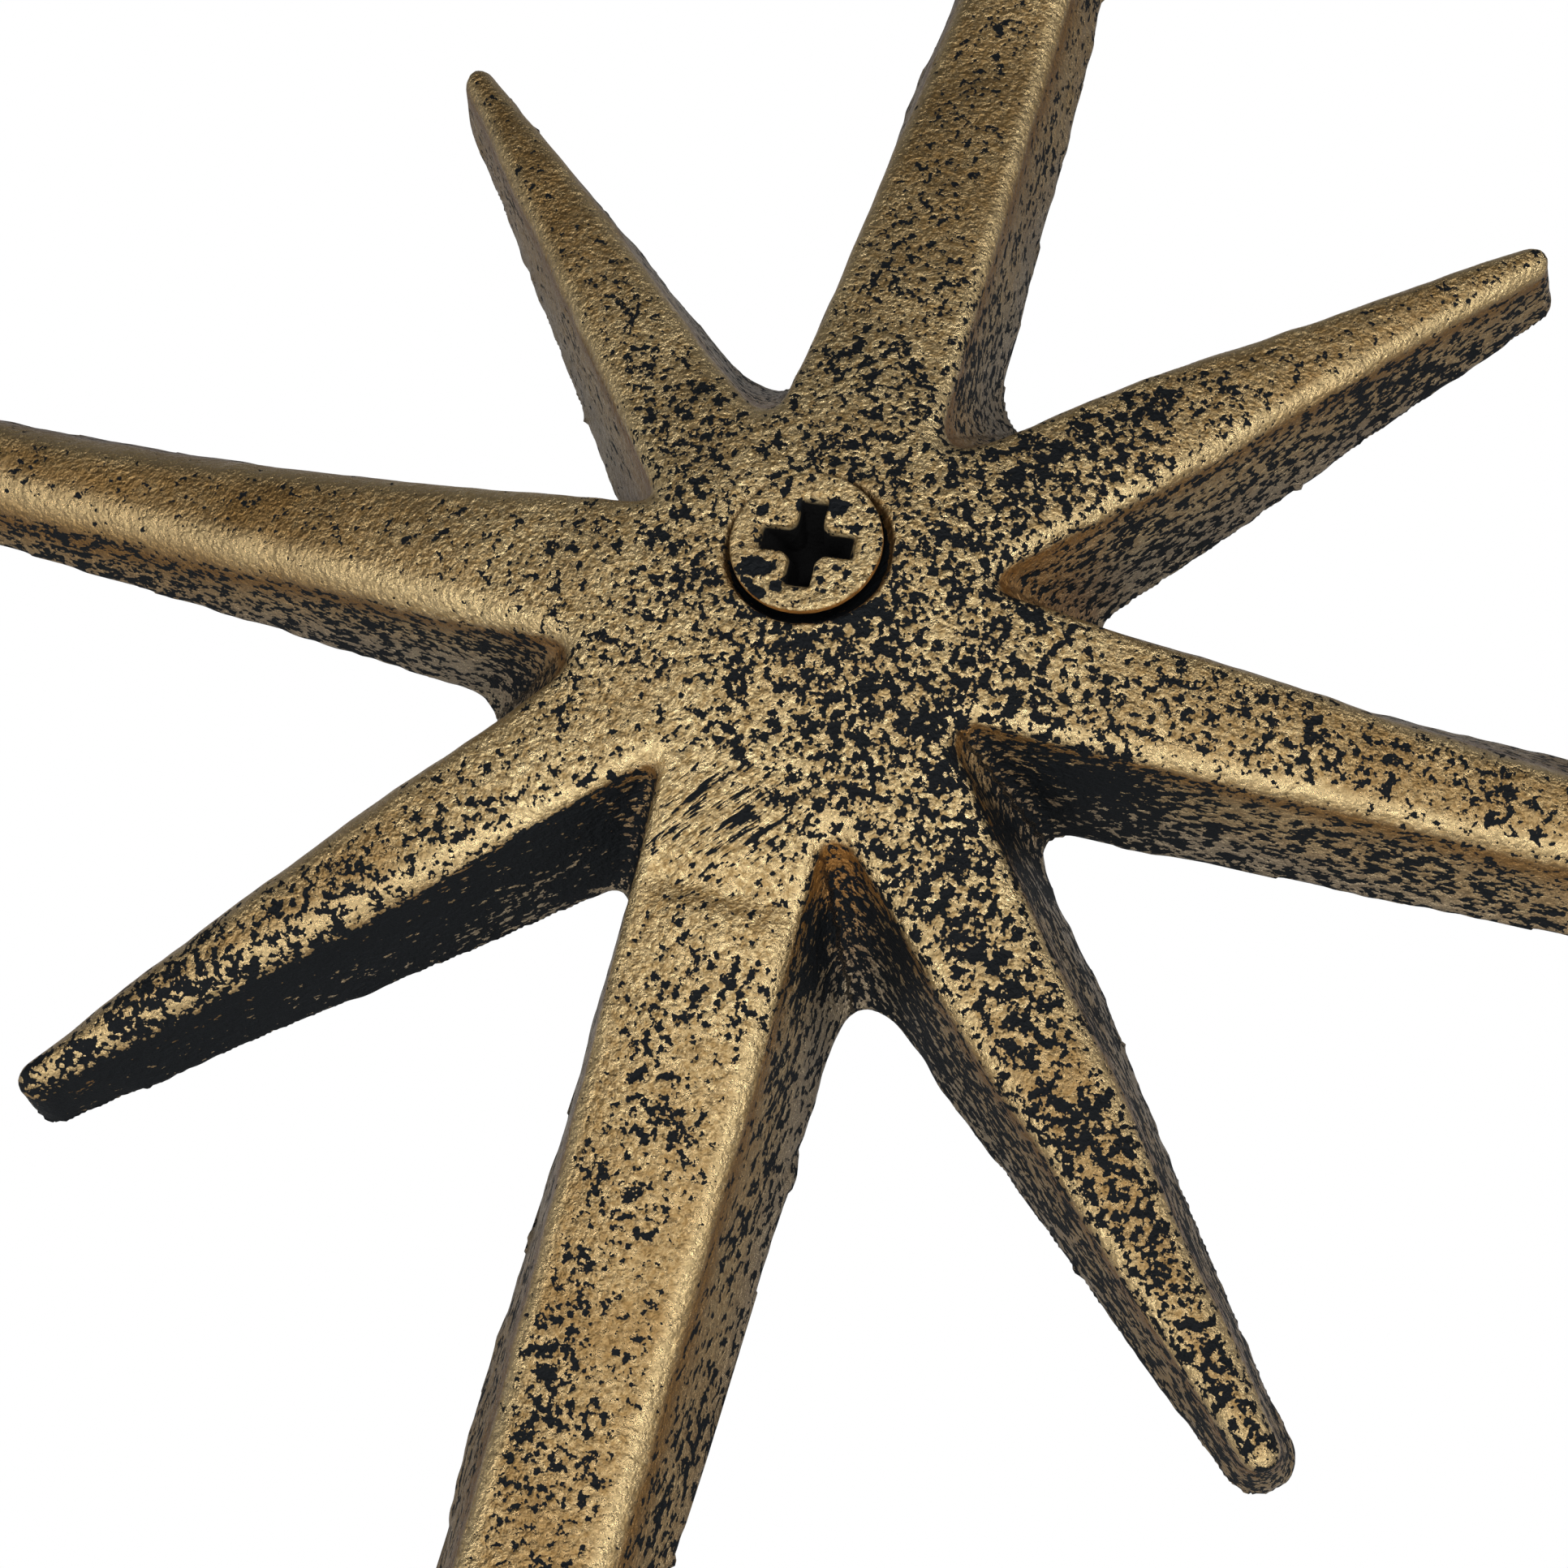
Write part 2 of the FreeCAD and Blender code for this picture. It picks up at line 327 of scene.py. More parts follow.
def from_hole(x, z):
    return np.hypot(x + HUB_SIDE - HOLE_SIDE, z - HUB_DROP + HOLE_SIDE)


def hole_radius(d):
    cone = SINK_R - (SEAT_D - d) * math.tan(math.radians(SINK_HALF_ANGLE))
    r = np.where(d > SEAT_D, SINK_R, np.maximum(cone, HOLE_R))
    return np.where(d < RELIEF_T, RELIEF_R, r)


def edge_radius(x, z):
    return lerp(EDGE_R, EDGE_R_LEFT, smooth_step(-x, 8.0, 22.0) * smooth_step(8.0 - z, 0.0, 6.0))


def casting_field(x, z, d, t):
    side = side_field(x, z, d, t)
    body = round_and(side, (d - t) * FACE_SLOPE, edge_radius(x, z))
    body = round_and(body, -d, 0.22)
    hole = (hole_radius(d) - from_hole(x, z)) * 0.9
    return round_and(body, hole, 0.16)


def cast_surface():
    """The casting's skin before its roughness, in plate axes."""
    step = 0.26
    lo = np.array([-99.0, -99.0, -1.0])
    nx = int(round(198.0 / step)) + 1
    nd = int(round(12.2 / step)) + 1
    axis = lo[0] + np.arange(nx) * step
    d = (lo[2] + np.arange(nd) * step)[None, :]
    gx, gz = (g.ravel() for g in np.meshgrid(axis, axis, indexing="ij"))
    near = np.hypot(gx, gz) < 21.0
    for bearing, tip, mid, bow, hb, ht, t, black in RAYS:
        r, s = ray_coords(gx, gz, bearing, tip, bow)
        reach = along(hb, np.clip(r, 0.0, tip), mid, tip) + 1.6
        near |= (r > 0.0) & (r < tip + 1.6) & (np.abs(s) < reach)
    x, z = gx[near][:, None], gz[near][:, None]
    field = np.full((nx * nx, nd), 1.0, np.float32)
    field[near] = casting_field(x, z, d, thickness(x, z))
    return surface_net(field.reshape(nx, nx, nd), lo, step)


def bare_level(share):
    """Height of the paint's noise above which a given share of the surface stays black."""
    k = 0.5 - np.clip(share, -0.1, 1.1)
    return 0.5 + 0.13 * k + 0.22 * k ** 3


def hub_black(x, z):
    """Share of bare black on the hub's face: heavy to the right, worn off to the lower left."""
    cov = 0.43 + 0.017 * x - 0.014 * np.clip(z - 3.0, 0.0, 9.0)
    cov -= 0.26 * np.exp(-((x + 5.0) ** 2 + (z + 10.0) ** 2) / 22.0)
    cov += 0.10 * np.exp(-((x - 4.0) ** 2 + (z + 1.0) ** 2) / 30.0)
    cov -= 0.16 * np.exp(-((x - 10.0) ** 2 + (z - 2.0) ** 2) / 20.0)
    return cov


def near_bearing(x, z, bearing, spread):
    """1 in this direction from the centre, falling to 0 within about twice the spread, degrees."""
    off = (np.degrees(np.arctan2(z, x)) - bearing + 180.0) % 360.0 - 180.0
    return np.exp(-(off / spread) ** 2)


def paint_and_painted_light_zones(p, side, face):
    """Where the paint is black, where painted shade, reflection and highlight go, and each point's
    place on its ray.
    """
    x, z, d = p[:, 0], p[:, 1], p[:, 2]
    radius = np.hypot(x, z)
    edge = edge_radius(x, z)
    on_wall = 1.0 - smooth_step(face, -edge * 1.3, -edge * 0.7)
    face_cov = np.zeros(len(p))
    wall_cov = np.zeros(len(p))
    weight = np.full(len(p), 1e-6)
    best = np.full(len(p), -1.0)
    place = np.zeros((len(p), 3))
    extra = np.zeros(len(p))
    for i, (bearing, tip, mid, bow, hb, ht, t, black) in enumerate(RAYS):
        r, s = ray_coords(x, z, bearing, tip, bow)
        for ray, at_r, at_s, length, width, amount in BLOTCHES:
            if ray == i:
                extra += amount * np.exp(-((r - at_r) / length) ** 2 - ((s - at_s) / width) ** 2)
        w = np.exp(-(s / 5.0) ** 2) * smooth_step(r, -2.0, 8.0) + 1e-6
        width = along(ht, np.clip(r, 0.0, tip), mid, tip)
        clean = smooth_step(np.abs(s) / width, 0.45, 1.0) * smooth_step(r, 12.0, 18.0)
        share = lerp(black[0], black[1], smooth_step(r, 16.0, 34.0))
        face_cov += w * (share - clean * 0.30)
        wall_cov += w * lerp(black[2], black[3], smooth_step(s, -1.0, 1.0))
        weight += w
        nearer = w > best
        best = np.where(nearer, w, best)
        place[nearer] = np.stack([r, s, d], 1)[nearer]
    face_cov = face_cov / weight
    wall_cov = wall_cov / weight
    in_hub = 1.0 - smooth_step(radius, 10.0, 17.0)
    face_cov = lerp(face_cov, hub_black(x, z), in_hub)
    # just under each face edge: a band of painted dark reflection, amber, with less black
    under = np.exp(-((face + edge * 1.35) / 0.75) ** 2) * on_wall
    # lower part of each side wall: greyer and lighter towards the back edge, partly thin gold over
    # black, partly a painted reflection of the pale surroundings
    low_wall = smooth_step(-face, 2.5, 5.0)
    wall_cov = wall_cov - 0.25 * under - 0.06 * low_wall
    # in the notches next to the hub: painted shade, copper in the valleys and more black on the walls
    valley = (1.0 - smooth_step(radius, 14.0, 19.0)) * on_wall * smooth_step(d, 0.3, 1.2)
    wall_cov -= 0.25 * (1.0 - smooth_step(radius, 13.5, 16.5))
    # painted shade: more bare black on the walls of three notches
    notch_black_shade = 0.12 * near_bearing(x, z, 337.0, 14.0) + 0.50 * near_bearing(x, z, 248.0, 18.0)
    notch_black_shade += 0.25 * near_bearing(x, z, 202.0, 16.0)
    wall_cov += notch_black_shade * (1.0 - smooth_step(radius, 15.0, 20.0)) * smooth_step(d, 0.3, 1.2)
    # how strong the painted copper shade is in each notch
    notch_shade_weight = 0.35 + 0.65 * near_bearing(x, z, 292.0, 18.0) + 0.35 * near_bearing(x, z, 22.0, 16.0)
    wall_cov += 0.20 * np.exp(-((radius - 17.5) / 3.0) ** 2) * smooth_step(face, -5.0, -2.0)
    in_hole = from_hole(x, z) < SINK_R + 0.25
    # inside the countersink, below its lip, all bare black: partly base coat the brush missed, partly
    # painted shadow of the gap round the screw head
    sunk = in_hole * smooth_step(-face, 0.45, 0.75)
    wall_cov = lerp(wall_cov, 1.2, sunk)
    # the hole's lip: clean gold with the same painted dark reflection
    lip = in_hole * smooth_step(-face, 0.05, 0.15) * (1.0 - sunk)
    face_cov = lerp(face_cov, 0.0, lip)
    brushed = 0.9 * np.exp(-((x + 2.0) / 5.5) ** 2 - ((z + 12.5) / 4.0) ** 2)
    return {
        "bare_level": bare_level(lerp(face_cov, wall_cov, on_wall) + extra),
        "on_wall": on_wall,
        "dark_reflection_band": np.clip(under * 0.95 + lip * 0.8, 0.0, 1.0),
        "low": low_wall * on_wall,
        "copper_shade": valley * notch_shade_weight,
        # band along the face edges: worn to gold, and lightened in the shader as a painted highlight
        "edge_wear_and_highlight": smooth_step(side, -edge * 1.5, -0.15) * smooth_step(face, -edge, 0.0),
        "back": 1.0 - smooth_step(d, 0.02, 0.2),
        # deeper gold towards the tips and to the left: partly the paint's tone, partly painted shade
        # where the light falls off
        "deep_tone_and_shade": 0.45 * smooth_step(radius, 12.0, 32.0) + 0.28 * smooth_step(-x, 15.0, 40.0),
        "brushed": brushed * (1.0 - on_wall),
    }, place


def build_star():
    verts, quads = cast_surface()
    x, z, d = verts[:, 0], verts[:, 1], verts[:, 2]
    normal = vertex_normals(verts, quads)
    t = thickness(x, z)
    side = side_field(x, z, d, t)
    face = (d - t) * FACE_SLOPE
    zones, place = paint_and_painted_light_zones(verts, side, face)
    # Roughness of the sand casting: lumps everywhere, ragged flash along the back edge.
    lump, grain, flash = Noise(11), Noise(12), Noise(13)
    rough = 0.15 * lump(verts, 6.5) + 0.08 * lump(verts + 31.0, 2.8) + 0.03 * grain(verts, 1.1)
    streak = place * np.array([0.35, 1.0, 1.0])
    rough += zones["on_wall"] * (0.05 * grain(streak + 9.0, 1.3) + 0.05 * lump(streak + 3.0, 3.1))
    rough += zones["edge_wear_and_highlight"] * 0.07 * grain(verts + 71.0, 1.7)
    low = np.exp(-((d / 0.8) ** 2)) * (1.0 - zones["back"])
    rough += low * (0.10 * np.maximum(flash(verts, 1.9), -0.4) + 0.10 * flash(verts + 57.0, 0.8))
    spur = np.maximum(flash(verts + 19.0, 1.0) - 0.74, 0.0)
    rough += low * smooth_step(np.hypot(x, z), 20.0, 24.0) * spur * 2.0
    rough *= smooth_step(from_hole(x, z), SINK_R + 0.05, SINK_R + 1.0) * (1.0 - zones["back"])
    verts = verts + normal * rough[:, None]
    star = make_mesh("cast_star", to_row(verts), quads)
    for name, values in zones.items():
        add_attribute(star, name, values)
    add_vector_attribute(star, "ray_place", place * MM)
    return star


def to_row(p):
    """Plate axes (x, z, d) in millimetres to the row frame in metres."""
    return np.stack([p[:, 0] + HUB_SIDE, -p[:, 2], p[:, 1] - HUB_DROP], 1) * MM


# ---- screw --------------------------------------------------------------------
HEAD_R = 4.10
HEAD_TOP = 10.15            # height of the head's face above the wall
HEAD_LAND = 0.45
SHANK_R = 2.10
CORE_R = 1.45               # root of the thread
PITCH = 1.7
SHANK_TOP = 7.2             # the shank starts inside the head, this high above the wall
TIP_DEPTH = 27.6            # the point's depth behind the wall's surface
POINT_L = 4.8               # length of the taper to the point
THREAD_FROM = 2.6           # depth where the plain shank ends
RECESS_SPAN = 5.45
RECESS_W = 1.48
RECESS_DEPTH = 2.5
RECESS_TURN = 5.0
# where the head's paint has come off: place across and up, half-width, half-height
HEAD_BARE = [
    (-2.05, -2.05, 1.05, 0.60),
    (-2.75, 1.25, 0.35, 0.35),
    (-1.95, 2.80, 0.28, 0.55),
    (1.05, 2.25, 0.60, 0.50),
    (-0.85, 2.10, 0.25, 0.45),
    (-1.55, -3.50, 0.38, 0.32),
    (-0.80, -2.95, 0.32, 0.30),
    (1.45, -2.05, 0.28, 0.26),
    (2.05, -1.20, 0.26, 0.24),
]


def head_surface():
    """Countersunk head with its cross recess, in screw axes: x, z across, d outward."""
    step = 0.085
    lo = np.array([-4.5, -4.5, 5.4])
    n = int(round(9.0 / step)) + 1
    nd = int(round(5.2 / step)) + 1
    axis = lo[0] + np.arange(n) * step
    x = axis[:, None, None]
    z = axis[None, :, None]
    d = (lo[2] + np.arange(nd) * step)[None, None, :]
    radius = np.hypot(x, z)
    land = HEAD_TOP - HEAD_LAND
    cone = HEAD_R - np.maximum(land - d, 0.0) * math.tan(math.radians(SINK_HALF_ANGLE))
    outer = (radius - np.maximum(cone, SHANK_R)) * 0.8
    body = round_and(outer + 0.0 * d, d - HEAD_TOP + 0.0 * radius, 0.08)
    body = np.maximum(body, lo[2] + 0.4 - d)
    # Cross recess: two crossed slots that narrow downward, with a conical middle.
    down = np.clip(HEAD_TOP - d, 0.0, RECESS_DEPTH)
    a = math.radians(RECESS_TURN)
    u = x * math.cos(a) + z * math.sin(a)
    v = -x * math.sin(a) + z * math.cos(a)
    half_w = RECESS_W / 2.0 - 0.10 * down
    half_l = RECESS_SPAN / 2.0 - 0.55 * down
    slot_u = round_and(np.abs(u) - half_l, np.abs(v) - half_w, 0.12)
    slot_v = round_and(np.abs(v) - half_l, np.abs(u) - half_w, 0.12)
    cross = soft_min(slot_u, slot_v, 0.55)
    middle = radius - (1.25 - 0.35 * down)
    cross = soft_min(cross, middle, 0.3)
    cross = np.maximum(cross, HEAD_TOP - RECESS_DEPTH - d)
    body = round_and(body, -cross, 0.12)
    return surface_net(body.astype(np.float32), lo, step)


def shank_surface():
    """Plain shank, wound thread and point, as rings of points down the axis."""
    around, step = 96, 0.085
    down = np.arange(-SHANK_TOP, TIP_DEPTH + step, step)
    down[-1] = TIP_DEPTH
    turn = np.arange(around) / around
    depth, angle = np.meshgrid(down, turn, indexing="ij")
    phase = (depth / PITCH + angle) % 1.0
    tooth = np.clip(1.0 - np.abs(phase - 0.5) * PITCH / 0.5, 0.0, 1.0)
    tooth = np.minimum(tooth * 1.12, 1.0)
    fade = smooth_step(depth, THREAD_FROM, THREAD_FROM + 1.2)
    core = lerp(SHANK_R, CORE_R, fade)
    radius = core + (SHANK_R - CORE_R) * tooth * fade
    point = np.clip((TIP_DEPTH - depth) / POINT_L, 0.0, 1.0)
    radius = np.minimum(radius, SHANK_R * point ** 0.8 + 0.02)
    radius = radius * np.where(point < 1.0, 0.55 + 0.45 * point, 1.0)
    a = angle * 2.0 * math.pi
    verts = np.stack([radius * np.cos(a), radius * np.sin(a), -depth], 2).reshape(-1, 3)
    rows = len(down)
    i, j = np.meshgrid(np.arange(rows - 1), np.arange(around), indexing="ij")
    k = (j + 1) % around
    this, below = i * around, (i + 1) * around
    quads = np.stack([this + j, this + k, below + k, below + j], 2).reshape(-1, 4)
    first = len(verts)
    verts = np.concatenate([verts, [[0.0, 0.0, SHANK_TOP], [0.0, 0.0, -TIP_DEPTH]]])
    j = np.arange(around)
    k = (j + 1) % around
    top = np.stack([np.full(around, first), k, j, j], 1)
    end = (rows - 1) * around
    tip = np.stack([np.full(around, first + 1), end + j, end + k, end + k], 1)
    return verts, quads, np.concatenate([top, tip])


def build_screw():
    head_v, head_q = head_surface()
    shank_v, shank_q, caps = shank_surface()
    dab = Noise(21)
    # Paint lies lumpy on the head's face.
    paint = 0.030 * dab(head_v, 0.9) + 0.016 * dab(head_v + 7.0, 0.45)
    paint = paint * smooth_step(head_v[:, 2], HEAD_TOP - 0.6, HEAD_TOP - 0.1)
    head_v = head_v + vertex_normals(head_v, head_q) * paint[:, None]
    verts = np.concatenate([head_v, shank_v])
    n = len(head_v)
    faces = [tuple(int(c) for c in q) for q in head_q]
    faces += [tuple(int(c) + n for c in q) for q in shank_q]
    faces += [tuple(int(c) + n for c in q[:3]) for q in caps]
    row = np.stack([verts[:, 0], -verts[:, 2], verts[:, 1]], 1) * MM
    mesh = bpy.data.meshes.new("painted_screw")
    mesh.from_pydata(row.tolist(), [], faces)
    mesh.validate()
    mesh.shade_smooth()
    screw = add_object("painted_screw", mesh)
    d = verts[:, 2]
    r = np.hypot(verts[:, 0], verts[:, 1])
    painted = smooth_step(d, HEAD_TOP - 1.4, HEAD_TOP - 0.8)
    # the cross recess below the face: black base coat, painted darker and matte as shade
    in_recess = smooth_step(HEAD_TOP - d, 0.10, 0.55) * (1.0 - smooth_step(r, 2.9, 3.1))
    in_recess = in_recess * smooth_step(d, 6.9, 7.2)
    black = 0.10
    for at_x, at_z, wide, high in HEAD_BARE:
        off = ((verts[:, 0] - at_x) / wide) ** 2 + ((verts[:, 1] - at_z) / high) ** 2
        black = black + 1.1 * np.exp(-off ** 2)
    add_attribute(screw, "bare_level", bare_level(black))
    add_attribute(screw, "painted", painted)
    add_attribute(screw, "in_recess", in_recess)
    # the head's side just under its top edge, in the gap round the head: painted shade, copper and
    # not metal
    rim = smooth_step(HEAD_TOP - d, 0.06, 0.14) * smooth_step(r, 3.5, 3.8)
    add_attribute(screw, "copper_shade", rim)
    for zone in ("on_wall", "dark_reflection_band", "low", "edge_wear_and_highlight", "brushed", "deep_tone_and_shade"):
        add_attribute(screw, zone, np.zeros(len(verts)))
    add_vector_attribute(screw, "ray_place", row)
    return screw


# ---- wall plug -------------------------------------------------------------------
PLUG_R = 3.2
PLUG_BORE_R = 2.18
PLUG_RIM_R = 4.0
PLUG_RIM_T = 0.8
PLUG_L = 30.0
PLUG_PLAIN_L = 8.0
RIB_STEP = 2.75
RIB_DEPTH = 0.35
RIBS = 7
NOSE_L = 2.6                # whole tube left at the nose, beyond the slit
NOSE_TAPER = 1.8            # length over which the nose narrows
NOSE_DROP = 0.9             # and by how much in radius
SLIT_W = 0.9
SLIT_FROM = 10.0


def plug_surface():
    """Ribbed, slit tube with a thin rim, in plug axes: x, z across, y into the wall."""
    step = 0.13
    lo = np.array([-4.4, -4.4, -1.3])
    n = int(round(8.8 / step)) + 1
    ny = int(round(31.8 / step)) + 1
    axis = lo[0] + np.arange(n) * step
    x, z = axis[:, None, None], axis[None, :, None]
    y = (lo[2] + np.arange(ny) * step)[None, None, :]
    radius = np.hypot(x, z)
    phase = np.clip((y - PLUG_PLAIN_L) / RIB_STEP % 1.0 * 1.15, 0.0, 1.0)
    ribbed = (y > PLUG_PLAIN_L) & (y < PLUG_PLAIN_L + RIB_STEP * RIBS)
    outer = np.where(ribbed, PLUG_R - RIB_DEPTH * (1.0 - phase), PLUG_R)
    outer = outer - np.clip((y - PLUG_L + NOSE_TAPER) / NOSE_TAPER, 0.0, 1.0) * NOSE_DROP
    tube = round_and(radius - outer, y - PLUG_L + 0.0 * radius, 0.25)
    tube = np.maximum(tube, -0.4 - y)
    from_rim = np.abs(y + PLUG_RIM_T / 2.0) - PLUG_RIM_T / 2.0
    rim = round_and(radius - PLUG_RIM_R + 0.0 * y, from_rim + 0.0 * radius, 0.2)
    body = np.minimum(tube, rim)
    body = round_and(body, PLUG_BORE_R - radius + 0.0 * y, 0.12)
    slit_ends = np.maximum(SLIT_FROM - y, y - PLUG_L + NOSE_L)
    slit = np.maximum(np.abs(x) - SLIT_W / 2.0 + 0.0 * y, slit_ends)
    body = np.maximum(body, -slit)
    return surface_net(body.astype(np.float32), lo, step)


def build_plug():
    verts, quads = plug_surface()
    row = np.stack([verts[:, 0], verts[:, 2], verts[:, 1]], 1) * MM
    return make_mesh("ribbed_plug", row, quads[:, ::-1])


# ---- materials -----------------------------------------------------------------------
# a Mix node has its sockets for numbers first and those for colours last
MIX_COLOUR_A = 6
MIX_COLOUR_B = 7
MIX_COLOUR_OUT = 2


class Paint:
    """A node tree with short names for the few nodes used here."""

    def __init__(self, name):
        self.material = bpy.data.materials.new(name)
        self.material.use_nodes = True
        self.tree = self.material.node_tree
        self.shader = self.tree.nodes["Principled BSDF"]

    def put(self, socket, value):
        if isinstance(value, bpy.types.NodeSocket):
            self.tree.links.new(value, socket)
        else:
            socket.default_value = value

    def attribute(self, name, vector=False):
        n = self.tree.nodes.new("ShaderNodeAttribute")
        n.attribute_name = name
        return n.outputs["Vector" if vector else "Fac"]

    def coords(self):
        return self.tree.nodes.new("ShaderNodeTexCoord").outputs["Object"]

    def math(self, kind, a, b=0.0, clamp=False):
        n = self.tree.nodes.new("ShaderNodeMath")
        n.operation = kind
        n.use_clamp = clamp
        self.put(n.inputs[0], a)
        self.put(n.inputs[1], b)
        return n.outputs[0]

    def scaled(self, vector, factors):
        n = self.tree.nodes.new("ShaderNodeVectorMath")
        n.operation = "MULTIPLY"
        self.put(n.inputs[0], vector)
        n.inputs[1].default_value = factors
        return n.outputs[0]

    def noise(self, vector, scale, detail=2.0, roughness=0.5):
        n = self.tree.nodes.new("ShaderNodeTexNoise")
        self.put(n.inputs["Vector"], vector)
        n.inputs["Scale"].default_value = scale
        n.inputs["Detail"].default_value = detail
        n.inputs["Roughness"].default_value = roughness
        return n.outputs["Fac"]

    def ramp(self, value, lo, hi, to_lo=0.0, to_hi=1.0):
        n = self.tree.nodes.new("ShaderNodeMapRange")
        self.put(n.inputs["Value"], value)
        n.inputs["From Min"].default_value = lo
        n.inputs["From Max"].default_value = hi
        n.inputs["To Min"].default_value = to_lo
        n.inputs["To Max"].default_value = to_hi
        return n.outputs["Result"]

    def mix(self, factor, a, b):
        """Mix of two colours."""
        n = self.tree.nodes.new("ShaderNodeMix")
        n.data_type = "RGBA"
        self.put(n.inputs[0], factor)
        self.put(n.inputs[MIX_COLOUR_A], a)
        self.put(n.inputs[MIX_COLOUR_B], b)
        return n.outputs[MIX_COLOUR_OUT]

    def blend(self, factor, a, b):
        """Mix of two numbers."""
        n = self.tree.nodes.new("ShaderNodeMix")
        n.data_type = "FLOAT"
        self.put(n.inputs[0], factor)
        self.put(n.inputs[2], a)
        self.put(n.inputs[3], b)
        return n.outputs[0]

    def bump(self, height, strength, distance):
        n = self.tree.nodes.new("ShaderNodeBump")
        self.put(n.inputs["Height"], height)
        n.inputs["Strength"].default_value = strength
        n.inputs["Distance"].default_value = distance
        self.tree.links.new(n.outputs["Normal"], self.shader.inputs["Normal"])


GOLD_LIGHT = (0.95, 0.74, 0.40, 1)
GOLD_MID = (0.42, 0.285, 0.12, 1)
GOLD_DEEP = (0.30, 0.175, 0.06, 1)
# painted dark reflection under the face edges and on the hole's lip
DARK_REFLECTION_AMBER = (0.17, 0.082, 0.020, 1)
# painted shade in the notches between the rays
NOTCH_SHADE_COPPER = (0.28, 0.125, 0.028, 1)
UMBER = (0.13, 0.08, 0.035, 1)
# painted shade on the screw head's side
HEAD_SIDE_SHADE = (0.30, 0.13, 0.03, 1)
# thin gold over black, lightened by a painted reflection of the pale surroundings
THIN_GOLD_AND_PALE_SHEEN = (0.20, 0.185, 0.16, 1)
DULL = (0.23, 0.165, 0.095, 1)
BLACK = (0.0062, 0.0076, 0.0090, 1)
ZINC = (0.55, 0.56, 0.58, 1)
# black base coat deepened by painted shade in the cross recess
RECESS_SHADE_BLACK = (0.003, 0.003, 0.003, 1)
NYLON_DARK = (0.40, 0.41, 0.40, 1)
NYLON_LIGHT = (0.50, 0.51, 0.50, 1)
BRUSH_TURN = 0.85           # radians, slant of the brush strokes under the hub


def pits(m, where, grain):
    """Height of the rough skin turned over: high where the brush could not reach."""
    clump = m.math("MULTIPLY", m.noise(where, 330.0, 1.0, 0.5), 0.12)
    fleck = m.math("MULTIPLY", m.noise(where, 1550.0 * grain, 2.0, 0.55), 0.50)
    speck = m.math("MULTIPLY", m.noise(where, 3200.0 * grain, 2.0, 0.6), 0.38)
    return m.math("ADD", clump, m.math("ADD", fleck, speck))


